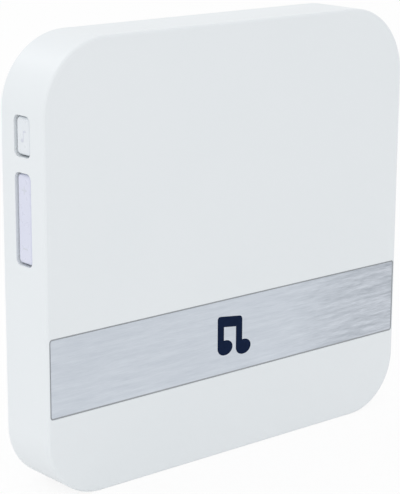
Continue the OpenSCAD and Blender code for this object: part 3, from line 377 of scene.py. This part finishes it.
# Rolled bronze: a golden brown with a satin gloss.
spring_bronze = plain_finish(
    "bronze_rolled", ("#b58748", "#c79a5c"),
    patch_mm=3, grain_mm=0.3, rough=(0.25, 0.38), relief_um=3, metallic=1.0)
print("finishes", pin_nickel.name, zinc_steel.name, enamelled_copper.name, spring_bronze.name)

# %% [markdown]
# ## Plastics and rubber inside
# Chips and sleeves are black mouldings with a matt grain, capacitors have a smooth case or a shrunk sleeve,
# the domes behind the keys are milky silicone and the leads have a PVC skin. Ferrite is a pressed and fired
# powder, so it is dull and grainy.

# %% Mouldings and coats
# Nylon from a textured mould: a soft black that shows little gloss.
black_nylon = plain_finish(
    "nylon_moulded_black", ("#1c1d1f", "#26282a"),
    patch_mm=3, grain_mm=0.2, rough=(0.42, 0.55), relief_um=4, ior=1.53)
# PBT from a smooth mould: a clear yellow with a soft gloss.
yellow_case = plain_finish(
    "pbt_moulded_yellow", ("#d3ae3c", "#dcba4a"),
    patch_mm=4, grain_mm=0.5, rough=(0.32, 0.42), relief_um=3, ior=1.55)
# PVC shrunk on a can: a deep blue, smooth and glossy.
blue_sleeve = plain_finish(
    "pvc_shrunk_blue", ("#243c66", "#2c4775"),
    patch_mm=3, grain_mm=0.8, rough=(0.28, 0.38), relief_um=3, ior=1.54)
# Silicone cement, dipped: a chalky green with a rough skin.
resistor_coat = plain_finish(
    "silicone_cement_dipped_green", ("#7b9d86", "#88a993"),
    patch_mm=1, grain_mm=0.25, rough=(0.55, 0.70), relief_um=8)
print("finishes", black_nylon.name, yellow_case.name, blue_sleeve.name, resistor_coat.name)

# %% Rubber, tape and ferrite
# Silicone rubber: a milky grey without gloss.
grey_silicone = plain_finish(
    "silicone_moulded_grey", ("#8b8f93", "#979ca0"),
    patch_mm=2, grain_mm=0.4, rough=(0.55, 0.68), relief_um=3, ior=1.41)
# PVC drawn over a wire: a full red with a satin skin.
red_pvc = plain_finish(
    "pvc_extruded_red", ("#a33931", "#b0443b"),
    patch_mm=2, grain_mm=0.3, rough=(0.35, 0.45), relief_um=2, ior=1.54)
# Acrylic tape: a dull, yellowish white.
adhesive_film = plain_finish(
    "acrylic_tape_white", ("#d7d7cf", "#dfdfd8"),
    patch_mm=3, grain_mm=0.3, rough=(0.50, 0.62), relief_um=3, ior=1.48)
# Sintered ferrite: a dark grey with a sandy grain.
fired_ferrite = plain_finish(
    "ferrite_sintered_grey", ("#37393c", "#444649"),
    patch_mm=0.8, grain_mm=0.2, rough=(0.50, 0.68), relief_um=10)
print("finishes", grey_silicone.name, red_pvc.name, adhesive_film.name, fired_ferrite.name)

# %% [markdown]
# ## Circuit boards
# A board is a glass-fibre laminate under a green solder mask. Copper tracks below the mask show as slightly
# paler, raised lines. Two wave textures draw lines along Z and along X, 1.6 mm apart, and a coarse cell
# pattern chooses which of the two shows where, so the tracks run in bundles as on a routed board.

# %% Green solder mask with tracks
TRACK_PITCH_MM, BUNDLE_MM = 1.6, 9.0
TRACK_EDGE, TRACK_TOP = 0.70, 0.82
SHARE_OF_UPRIGHT = 0.5
WAVES_AT_SCALE_1 = 20 / (2 * np.pi)


def wave_scale(pitch_mm):
    """The Scale that makes a Wave texture's bands pitch_mm apart; at 1 there are 20 / (2 pi) in a metre."""
    return per_metre(pitch_mm) / WAVES_AT_SCALE_1


# The mask is smooth, and it is thinner and glossier over the copper.
solder_mask, tree, place = new_finish("glass_fibre_board_green_mask")
upright, sideways = [
    node(tree, "ShaderNodeTexWave", {
        "Vector": place, "Scale": wave_scale(TRACK_PITCH_MM)}, bands_direction=way)
    for way in ("X", "Z")
]
bundles = node(tree, "ShaderNodeTexVoronoi", {
    "Vector": place, "Scale": per_metre(BUNDLE_MM)}, distance="CHEBYCHEV")
pick = node(tree, "ShaderNodeSeparateColor", {0: bundles.outputs["Color"]})
choice = node(tree, "ShaderNodeMath", {0: pick.outputs[0], 1: SHARE_OF_UPRIGHT}, operation="GREATER_THAN")
line = node(tree, "ShaderNodeMix", {
    0: choice.outputs[0], 2: upright.outputs["Fac"], 3: sideways.outputs["Fac"]})
track = node(tree, "ShaderNodeMapRange", {
    "Value": line.outputs[0], "From Min": TRACK_EDGE, "From Max": TRACK_TOP})
dress(
    tree, track.outputs[0], (linear("#1b5c38"), linear("#2a7d4c")),
    track.outputs[0], rough=(0.34, 0.26), relief_um=35, ior=1.55)
print("finish", solder_mask.name, "with tracks every", TRACK_PITCH_MM, "mm")

# %% [markdown]
# ## Ribbon cable
# The flat cable from the key board has parallel conductors side by side in grey PVC, 1 mm apart, which show
# as rounded ridges. One wave texture across the cable gives the ridges, and it also paints the grooves
# between them darker: painted shade.

# %% Grey ribbon with ridges
CONDUCTOR_PITCH_MM = 1.0
ribbon_pvc, tree, place = new_finish("pvc_extruded_ribbon_grey")
ridges = node(tree, "ShaderNodeTexWave", {
    "Vector": place, "Scale": wave_scale(CONDUCTOR_PITCH_MM)}, bands_direction="Z")
# The same wave sets the colour: the grooves are painted darker, painted shade, and the ridge tops paler.
dress(
    tree, ridges.outputs["Fac"], (linear("#a9acb1"), linear("#cdd0d4")),
    ridges.outputs["Fac"], rough=(0.52, 0.40), relief_um=120, ior=1.54)
print("finish", ribbon_pvc.name, "with a conductor every", CONDUCTOR_PITCH_MM, "mm")

# %% [markdown]
# ## Speaker cone and gasket
# Behind the sound slots sits a small loudspeaker. Its cone is pressed from dark plastic film with fine
# rings, which stiffen it, and a soft foam ring seals it against the cover. The rings are a wave texture in
# circles round the speaker's axis, which a Mapping node puts at the origin. The foam is a cell pattern.

# %% Pressed film and foam
RING_PITCH_MM, FOAM_CELL_MM = 1.2, 0.45

# Pressed polyester film: dark, with a glossy crest on each ring. Each crest is also painted paler, a painted
# highlight.
_, _, cone_middle = box_mm("speaker_cone")
cone_film, tree, place = new_finish("polyester_film_pressed_dark")
centred = node(tree, "ShaderNodeMapping", {"Vector": place, "Location": (0.0, 0.0, -cone_middle[2] * MM)})
rings = node(tree, "ShaderNodeTexWave", {
    "Vector": centred.outputs[0], "Scale": wave_scale(RING_PITCH_MM),
}, wave_type="RINGS", rings_direction="Y")
dress(
    tree, rings.outputs["Fac"], (linear("#3a3d41"), linear("#4c5056")),
    rings.outputs["Fac"], rough=(0.36, 0.26), relief_um=60, ior=1.57)

# Cut polyurethane foam: black with no gloss; the sunken pores are painted darker than their walls, painted
# shade.
gasket_foam, tree, place = new_finish("polyurethane_foam_cut_black")
cells = node(tree, "ShaderNodeTexVoronoi", {"Vector": place, "Scale": per_metre(FOAM_CELL_MM)})
dress(
    tree, cells.outputs["Distance"], (linear("#232426"), linear("#3b3c3f")),
    cells.outputs["Distance"], rough=(0.95, 0.80), relief_um=150)
print("finishes", cone_film.name, gasket_foam.name)

# %% [markdown]
# ## Finishes on the CAD pieces
# Each CAD node keeps its shape and gets one finish. A table of finish to nodes is easier to check than one
# assignment after another, and a node that it forgets is named at once in the print.

# %% Finish of each node
FINISHED = {
    housing_abs: ("front_cover", "rear_cover", "key_bracket"),
    button_abs: ("melody_button",),
    rocker_abs: ("volume_rocker",),
    brushed_aluminium: ("trim_strip",),
    adhesive_film: ("strip_tape",),
    zinc_steel: (
        "rocker_axle", "crystal_can", "speaker_frame", "speaker_yoke", "pole_plate",
        "speaker_screws", "board_screws", "housing_screws",
    ),
    solder_mask: ("key_board", "main_board", "radio_board"),
    ribbon_pvc: ("key_ribbon",),
    black_nylon: ("melody_chip", "bridge_rectifier", "radio_header", "radio_chip", "pin_sleeves"),
    yellow_case: ("film_capacitor",),
    blue_sleeve: ("filter_capacitor",),
    resistor_coat: ("fusible_resistor",),
    fired_ferrite: ("choke", "speaker_magnet"),
    enamelled_copper: ("voice_coil",),
    pin_nickel: ("plug_pins",),
    spring_bronze: ("mains_contacts",),
    cone_film: ("speaker_cone",),
    gasket_foam: ("speaker_gasket",),
}
REPLACED = ("antenna_coil", "speaker_leads", "melody_dome", "volume_domes")
for finish, names in FINISHED.items():
    for name in names:
        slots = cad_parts[name].data.materials
        slots.clear()
        slots.append(finish)
left_bare = set(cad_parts) - {name for names in FINISHED.values() for name in names}
print("finished", sum(map(len, FINISHED.values())), "nodes, still bare:", sorted(left_bare - set(REPLACED)))

# %% [markdown]
# ## Glue round the strip
# The strip lies in a recess that is a little larger than it is. Glue rises in the gap and stops just below
# the face. Its mid grey is painted shade: it draws the gap round the strip as a soft grey line and not as a
# black slit. The bead is one small closed profile carried round a rounded rectangle. A bevelled curve object
# would do as well; with arrays, the same few lines also serve the wires and the domes.

# %% Path round the strip
STRIP_GAP_MM, STRIP_CORNER_MM, CORNER_STEPS = 0.35, 0.4, 9


def rounded_outline(half_w, half_h, radius, steps):
    """Points and outward directions of a rounded rectangle, anticlockwise: four quarter circles in turn."""
    turn = np.radians(np.linspace(0, 90, steps)[None] + 90 * np.arange(4)[:, None])
    outward = np.stack((np.cos(turn), np.sin(turn)), axis=-1)
    quarter = np.array(((1, 1), (-1, 1), (-1, -1), (1, -1)))
    centres = quarter * (half_w - radius, half_h - radius)
    return (centres[:, None] + radius * outward).reshape(-1, 2), outward.reshape(-1, 2)


strip_low, strip_high, strip_middle = box_mm("trim_strip")
half_w, _, half_h = (strip_high - strip_low) / 2 + STRIP_GAP_MM / 2
outline, outward = rounded_outline(half_w, half_h, STRIP_CORNER_MM + STRIP_GAP_MM / 2, CORNER_STEPS)
path = np.stack((
    strip_middle[0] + outline[:, 0],
    np.full(len(outline), strip_low[1]),
    strip_middle[2] + outline[:, 1],
), axis=1)
across = np.stack((outward[:, 0], np.zeros(len(outward)), outward[:, 1]), axis=1)
print("path round the strip:", len(path), "points,", round(2 * half_w, 2), "by", round(2 * half_h, 2), "mm")

# %% Bead of glue along the path
BEAD_OVERLAP_MM, BEAD_BELOW_MM, BEAD_DIP_MM, BEAD_DEEP_MM, BEAD_STEPS = 0.02, 0.06, 0.05, 0.45, 9


def sweep(path, across, out, profile, closed):
    """A surface of two parameters, along a path and round a profile.

    Each point is a path point plus the profile's first number times the direction across the path plus its
    second number times the direction out. A closed path joins its last ring to its first; an open one is
    capped.
    """
    rings = path[:, None] + profile[None, :, :1] * across[:, None] + profile[None, :, 1:] * out[:, None]
    index = np.arange(rings.size // 3).reshape(rings.shape[:2])
    turned = np.roll(index, -1, axis=1)
    start = index if closed else index[:-1]
    after = np.roll(index, -1, axis=0)[:len(start)]
    turned_after = np.roll(turned, -1, axis=0)[:len(start)]
    faces = np.stack((start, turned[:len(start)], turned_after, after), axis=-1).reshape(-1, 4).tolist()
    if not closed:
        faces += [index[0, ::-1].tolist(), index[-1].tolist()]
    return rings.reshape(-1, 3), faces


bead_half = STRIP_GAP_MM / 2 + BEAD_OVERLAP_MM
share = np.linspace(-1.0, 1.0, BEAD_STEPS)
surface = np.stack((bead_half * share, -BEAD_BELOW_MM - BEAD_DIP_MM * (1 - share ** 2)), axis=1)
profile = np.concatenate((surface, ((bead_half, -BEAD_DEEP_MM), (-bead_half, -BEAD_DEEP_MM))))
out_of_face = np.tile((0.0, -1.0, 0.0), (len(path), 1))
points, faces = sweep(path, across, out_of_face, profile, closed=True)
# Cured acrylic glue: a mid grey with a soft gloss. The grey is painted shade for the gap round the strip.
gap_shade_glue = plain_finish(
    "acrylic_glue_cured_grey_painted_shade", ("#9a9ea3", "#a5a9ad"),
    patch_mm=4, grain_mm=0.3, rough=(0.40, 0.55), relief_um=3, ior=1.48)
mesh_object("strip_glue_bead_painted_shade", points * MM, faces, "housing", gap_shade_glue)

# %% [markdown]
# ## Wires
# Two pieces in the CAD model are coarse tubes: the antenna, a coil of enamelled wire beside the radio
# board, and the speaker's two leads. Blender replaces them by round tubes along the same routes. The antenna
# leaves the board in a short straight leg and then winds down a helix. Each lead leans over in an S from the
# speaker's rim to the board. A curve object with a round bevel would give such tubes too; here the sweep of
# the glue bead serves again.

# %% Antenna
# Sizes and places in millimetres, along the CAD model's route.
COIL_TURNS, COIL_PITCH, COIL_R, COIL_WIRE_R = 13, 1.7, 2.1, 0.35
COIL_AXIS, COIL_TOP, COIL_LEG_X = (42.0, -1.6), 64.8, 27.2
STEPS_PER_TURN, LEG_STEPS, WIRE_SIDES = 24, 12, 16


def circle(sides):
    """Points of a circle of radius 1: cosine and sine of equal steps of one turn."""
    turn = np.linspace(0, 2 * np.pi, sides, endpoint=False)
    return np.stack((np.cos(turn), np.sin(turn)), axis=1)


def wire(path, radius):
    """A circle carried along an open path, square to it.

    Across is the cross product of the path's direction and Z, or X for a path that keeps its x.
    """
    along = np.gradient(path, axis=0)
    along /= np.linalg.norm(along, axis=1, keepdims=True)
    across = np.cross(along, (0.0, 0.0, 1.0) if np.ptp(path[:, 0]) > 0 else (1.0, 0.0, 0.0))
    across /= np.linalg.norm(across, axis=1, keepdims=True)
    return sweep(path, across, np.cross(along, across), radius * circle(WIRE_SIDES), closed=False)


turn = np.linspace(0, 2 * np.pi * COIL_TURNS, STEPS_PER_TURN * COIL_TURNS + 1)
helix = np.stack((
    COIL_AXIS[0] + COIL_R * np.sin(turn),
    COIL_AXIS[1] + COIL_R * np.cos(turn),
    COIL_TOP - COIL_PITCH * turn / (2 * np.pi),
), axis=1)
leg_x = np.linspace(COIL_LEG_X, COIL_AXIS[0], LEG_STEPS, endpoint=False)
leg = np.stack((leg_x, np.full(LEG_STEPS, helix[0, 1]), np.full(LEG_STEPS, COIL_TOP)), axis=1)
points, faces = wire(np.concatenate((leg, helix)), COIL_WIRE_R)
antenna = mesh_object("antenna_winding", points * MM, faces, "housing", enamelled_copper)
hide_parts("antenna_coil")

# %% Speaker leads
# Sizes and places in millimetres, along the CAD model's route.
LEAD_X, LEAD_Y, LEAD_Z, LEAD_LEAN, LEAD_WIRE_R = 1.5, (4.1, -1.5), 41.4, 6.0, 0.5
LEAD_STEPS = 33


def s_curve(t):
    """From 0 to 1 in an S: (3 - 2t) times t squared."""
    return (3 - 2 * t) * t ** 2


def joined(surfaces):
    """Several surfaces as one: the faces of each count on from the points of those before it."""
    points = np.concatenate([points for points, _ in surfaces])
    starts = np.cumsum([0] + [len(points) for points, _ in surfaces])
    faces = [[n + start for n in face] for (_, faces), start in zip(surfaces, starts) for face in faces]
    return points, faces


t = np.linspace(0, 1, LEAD_STEPS)
rise = LEAD_Z + LEAD_LEAN * s_curve(t)
slant = LEAD_Y[0] + (LEAD_Y[1] - LEAD_Y[0]) * t
points, faces = joined([
    wire(np.stack((np.full(LEAD_STEPS, x), slant, rise), axis=1), LEAD_WIRE_R) for x in (-LEAD_X, LEAD_X)])
leads = mesh_object("speaker_wires", points * MM, faces, "housing", red_pvc)
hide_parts("speaker_leads")

# %% [markdown]
# ## Domes behind the keys
# Silicone domes on the key board push the keys back out: one behind the button, one behind each end of the
# rocker. When a key goes in, a dome's thin skirt folds and its crown comes down. The CAD domes are rigid
# cones, so Blender replaces them by domes whose skirts run in an S. These domes keep their full height and
# do not flatten with the keys.

# %% Silicone domes with skirts in an S
# Sizes in millimetres. The pressed height is what a key leaves free when it is fully in.
DOME_FOOT_R, DOME_CROWN_R, DOME_WALL, DOME_PRESSED_H = 2.5, 1.55, 0.5, 1.2
DOME_STEPS, DOME_SIDES = 13, 48
ROCKER_DOME_OUT = 6.4


def dome_surface(foot, height):
    """A circle carried along the section: from the inner crown to the foot and up again to the outer crown.

    The radius grows from crown to foot in an S, while the height falls evenly.
    """
    t = np.linspace(0, 1, DOME_STEPS)
    outer = np.stack((
        DOME_CROWN_R + (DOME_FOOT_R - DOME_CROWN_R) * s_curve(t),
        height - (height - DOME_WALL) * t,
    ), axis=1)
    inner = np.stack((outer[:, 0] - DOME_WALL, (height - DOME_WALL) * (1 - t)), axis=1)
    section = np.concatenate((inner, ((DOME_FOOT_R, 0.0),), outer[::-1]))
    radius = section[:, :1]
    path = np.array(foot) - section[:, 1:] * (1, 0, 0)
    return sweep(path, radius * (0, 0, 1), radius * (0, 1, 0), circle(DOME_SIDES), closed=False)


for name, cone, joint, offsets in (
    ("button_dome", "melody_dome", "melody_press", (0.0,)),
    ("rocker_domes", "volume_domes", "volume_rock", (-ROCKER_DOME_OUT, ROCKER_DOME_OUT)),
):
    low, high, middle = box_mm(cone)
    height = high[0] - low[0]
    feet = [(high[0], middle[1], middle[2] + offset) for offset in offsets]
    points, faces = joined([dome_surface(foot, height) for foot in feet])
    domes = mesh_object(name, points * MM, faces, "housing", grey_silicone)
    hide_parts(cone)
    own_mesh(domes)
    print(name, "of", round(height, 2), "mm, pressed to", DOME_PRESSED_H, "mm")

# %% [markdown]
# ## Printed signs
# Signs on such a housing are pad printed: a silicone pad sets down a film of ink some hundredths of a
# millimetre thick. It could be painted into the strip's material, but then it would be only as sharp as a
# texture. Here it is a real film. A signed distance, negative inside the sign and positive outside, is
# worked out on a fine grid. The film's height follows it: it stands proud inside, dips just below the
# printed surface outside, and so meets the surface in a smooth outline, finer than the grid.

# %% Inks
# Matt inks: a fine powder scatters what would be gloss, so the gloss level is low and the navy stays deep.
navy_ink = plain_finish(
    "ink_pad_printed_navy", ("#0a1832", "#10203e"),
    patch_mm=1.2, grain_mm=0.2, rough=(0.5, 0.6), relief_um=2, gloss_level=0.05)
grey_ink = plain_finish(
    "ink_pad_printed_pale_grey", ("#cfd3de", "#d5d9e3"),
    patch_mm=0.8, grain_mm=0.2, rough=(0.5, 0.6), relief_um=2, gloss_level=0.3)
print("finishes", navy_ink.name, grey_ink.name)

# %% A film of ink from a signed distance
FILM_UM = 40
FILM_EDGE_MM = 0.12


def ink_film(name, sign, half, pitch, spot, right, normal, body, ink):
    """A closed thin film.

    u runs to the right and v upwards over a grid of the given pitch, as far as half says to either side, all
    in mm. Height is FILM_UM times the distance inside the sign's outline over FILM_EDGE_MM, held between -1
    and 1; the lower side is flat, and walls close the film round the cells that are kept.
    """
    sides = [np.arange(-reach - pitch, reach + 2 * pitch, pitch) for reach in half]
    u, v = np.meshgrid(*sides, indexing="ij")
    distance = sign(u, v)
    rise = FILM_UM * MICRON * np.clip(-distance / FILM_EDGE_MM, -1.0, 1.0)
    right, normal = np.array(right), np.array(normal)
    above = np.cross(normal, right)
    flat = np.array(spot) + MM * (u[..., None] * right + v[..., None] * above)
    upper = flat + rise[..., None] * normal
    lower = flat - 2 * FILM_UM * MICRON * normal
    points = np.concatenate((upper.reshape(-1, 3), lower.reshape(-1, 3)))

    cell = grid_cells(u.shape)
    kept = distance.ravel()[cell].min(axis=-1) < FILM_EDGE_MM
    ringed = np.pad(kept, 1)
    beside = (ringed[1:-1, :-2], ringed[2:, 1:-1], ringed[1:-1, 2:], ringed[:-2, 1:-1])
    faces = [cell[kept], cell[kept][:, ::-1] + u.size]
    for k, neighbour in enumerate(beside):
        start, end = cell[kept & ~neighbour][:, (k, (k + 1) % 4)].T
        faces.append(np.stack((start + u.size, end + u.size, end, start), axis=-1))
    used, faces = np.unique(np.concatenate(faces), return_inverse=True)
    return mesh_object(name, points[used], faces.reshape(-1, 4).tolist(), body, ink)


print("films stand up to", FILM_UM, "micrometres proud")

# %% [markdown]
# The sign on the strip is a pair of quavers, the common sign for a melody: two oval heads, a stem that
# rises from each, and one bar across the stems. All five strokes are bars and ovals of plain sizes, and the
# smallest of their distances joins them into one outline. The second note is the lower one, so the bar falls
# to the right.

# %% Pair of quavers on the strip
# Sizes in millimetres, and places to the right of the sign's middle or above it.
NOTE_FIELD, NOTE_PITCH = (5.2, 5.2), 0.06
HEAD_HALF, HEAD_TILT, HEAD_DOWN = (2.2, 1.65), 20, -2.85
STEM_HALF_W, BEAM_HALF_H, NOTE_HALF_H = 0.92, 1.2, 4.25
LEFT_STEM, RIGHT_STEM = -3.95, 1.35
STEM_DOWN, STROKE_CORNER, FALL_PER_MM = -3.95, 0.8, 0.13


def bar(u, v, centre, half, corner):
    """Signed distance to an upright bar with rounded corners.

    It is the length of what u and v reach past a bar that is smaller by the corner's radius, or inside that
    bar the larger of the two, less the radius.
    """
    over_u = np.abs(u - centre[0]) - half[0] + corner
    over_v = np.abs(v - centre[1]) - half[1] + corner
    outside = np.hypot(np.maximum(over_u, 0), np.maximum(over_v, 0))
    return outside + np.minimum(np.maximum(over_u, over_v), 0) - corner


def oval(u, v, centre, half, tilt_deg):
    """About the signed distance to an oval that leans by tilt_deg: a circle in stretched coordinates."""
    turn = np.radians(tilt_deg)
    across = (np.cos(turn) * (u - centre[0]) + np.sin(turn) * (v - centre[1])) / half[0]
    along = (np.cos(turn) * (v - centre[1]) - np.sin(turn) * (u - centre[0])) / half[1]
    return (np.hypot(across, along) - 1.0) * min(half)


def quaver_pair(u, v):
    """The union, by the smallest distance, of two heads, two stems and the bar across them.

    Each mm to the right lies FALL_PER_MM lower, so the stems stay upright and the bar slopes.
    """
    v = v + FALL_PER_MM * u
    stem_half = (NOTE_HALF_H - STEM_DOWN) / 2
    beam_centre = ((LEFT_STEM + RIGHT_STEM) / 2, NOTE_HALF_H - BEAM_HALF_H)
    beam_half = ((RIGHT_STEM - LEFT_STEM) / 2 + STEM_HALF_W, BEAM_HALF_H)
    parts = [bar(u, v, beam_centre, beam_half, STROKE_CORNER)]
    for stem in (LEFT_STEM, RIGHT_STEM):
        parts.append(bar(u, v, (stem, NOTE_HALF_H - stem_half), (STEM_HALF_W, stem_half), STROKE_CORNER))
        parts.append(oval(u, v, (stem - STEM_HALF_W + HEAD_HALF[0], HEAD_DOWN), HEAD_HALF, HEAD_TILT))
    return np.minimum.reduce(parts)


note_spot = MM * np.array((strip_middle[0], strip_low[1], strip_middle[2]))
ink_film(
    "note_sign", quaver_pair, NOTE_FIELD, NOTE_PITCH, note_spot,
    right=(1, 0, 0), normal=(0, -1, 0), body="housing", ink=navy_ink)

# %% [markdown]
# The keys carry faint signs in pale grey: a small quaver on the button that changes the melody, and a plus
# and a minus at the two ends of the volume rocker. They ride on their keys, so they move with them.

# %% Signs on the keys
# Sizes in millimetres, and places to the right of each sign's middle and above it.
MARK_FIELD, MARK_PITCH = (1.1, 1.4), 0.04
MARK_HALF, MARK_STROKE, MARK_CORNER, MARK_OUT = 0.85, 0.17, 0.1, 6.0
SMALL_HEAD_AT, SMALL_HEAD_HALF, SMALL_HEAD_TILT = (-0.35, -0.85), (0.52, 0.4), 14
SMALL_STEM_AT, SMALL_STEM_HALF = (0.05, 0.1), (0.12, 1.05)
SMALL_FLAG_AT, SMALL_FLAG_HALF = (0.4, 0.95), (0.45, 0.2)


def quaver(u, v):
    """One head, its stem and a short flag, joined by the smallest distance."""
    return np.minimum.reduce([
        oval(u, v, SMALL_HEAD_AT, SMALL_HEAD_HALF, SMALL_HEAD_TILT),
        bar(u, v, SMALL_STEM_AT, SMALL_STEM_HALF, MARK_CORNER),
        bar(u, v, SMALL_FLAG_AT, SMALL_FLAG_HALF, MARK_CORNER),
    ])


def minus(u, v):
    """One flat bar."""
    return bar(u, v, (0, 0), (MARK_HALF, MARK_STROKE), MARK_CORNER)


def plus(u, v):
    """The minus and the same bar upright."""
    return np.minimum(minus(u, v), minus(v, u))


for name, sign, key, up, body in (
    ("button_sign", quaver, "melody_button", 0.0, "melody_key"),
    ("rocker_plus", plus, "volume_rocker", MARK_OUT, "volume_key"),
    ("rocker_minus", minus, "volume_rocker", -MARK_OUT, "volume_key"),
):
    low, _, middle = box_mm(key)
    spot = MM * np.array((low[0], middle[1], middle[2] + up))
    ink_film(
        name, sign, MARK_FIELD, MARK_PITCH, spot,
        right=(0, -1, 0), normal=(-1, 0, 0), body=body, ink=grey_ink)
